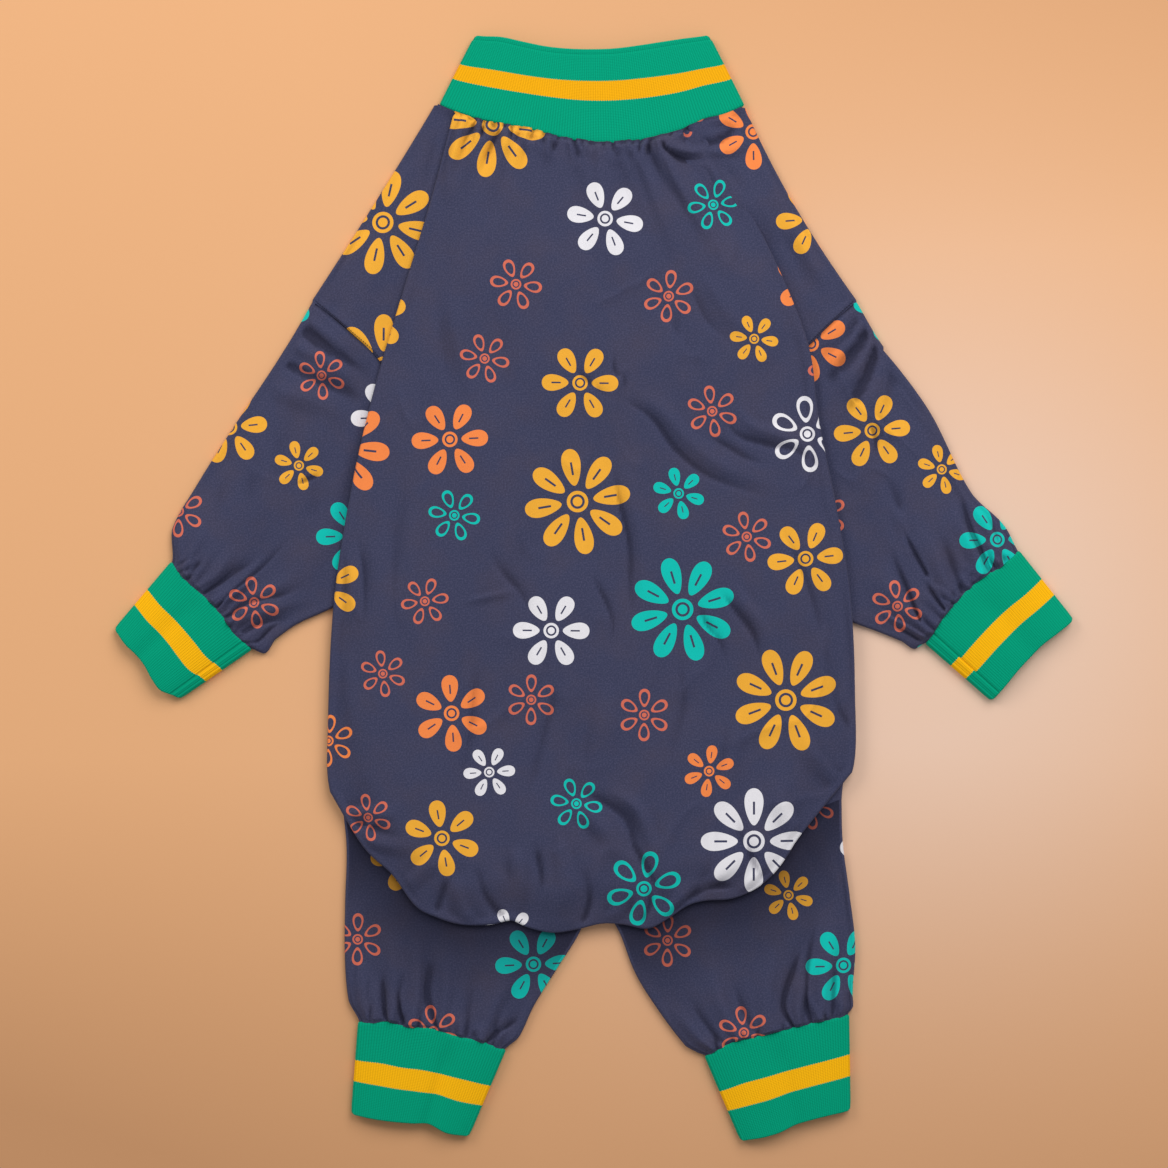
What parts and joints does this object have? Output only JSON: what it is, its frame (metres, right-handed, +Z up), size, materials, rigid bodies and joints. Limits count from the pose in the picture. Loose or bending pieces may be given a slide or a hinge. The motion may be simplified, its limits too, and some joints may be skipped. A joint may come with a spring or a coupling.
{
  "type": "dog jumpsuit",
  "caption": "Four-legged dog jumpsuit of thin printed jersey with a high rib collar and rib cuffs, lying flat with its back up.",
  "frame": {"origin": "on the surface that the suit lies on, under the middle of the belly, on the centre line", "axes": "+Y towards the collar, +X to the right seen from above, +Z up from the belly to the back"},
  "size_m": [0.6718, 0.775, 0.0179],
  "materials": {
    "navy_jersey": "fine matt jersey, navy with a printed scatter of flowers",
    "green_rib": "1x1 rib knit, green with an amber stripe knitted in"
  },
  "bodies": {
    "root": {"collar": "green_rib", "back_panel": "navy_jersey", "belly_panel": "navy_jersey", "front_leg_left": "navy_jersey", "front_leg_right": "navy_jersey", "hind_leg_left": "navy_jersey", "hind_leg_right": "navy_jersey", "front_cuff_left": "green_rib", "front_cuff_right": "green_rib", "hind_cuff_left": "green_rib", "hind_cuff_right": "green_rib"}
  },
  "joints": []
}
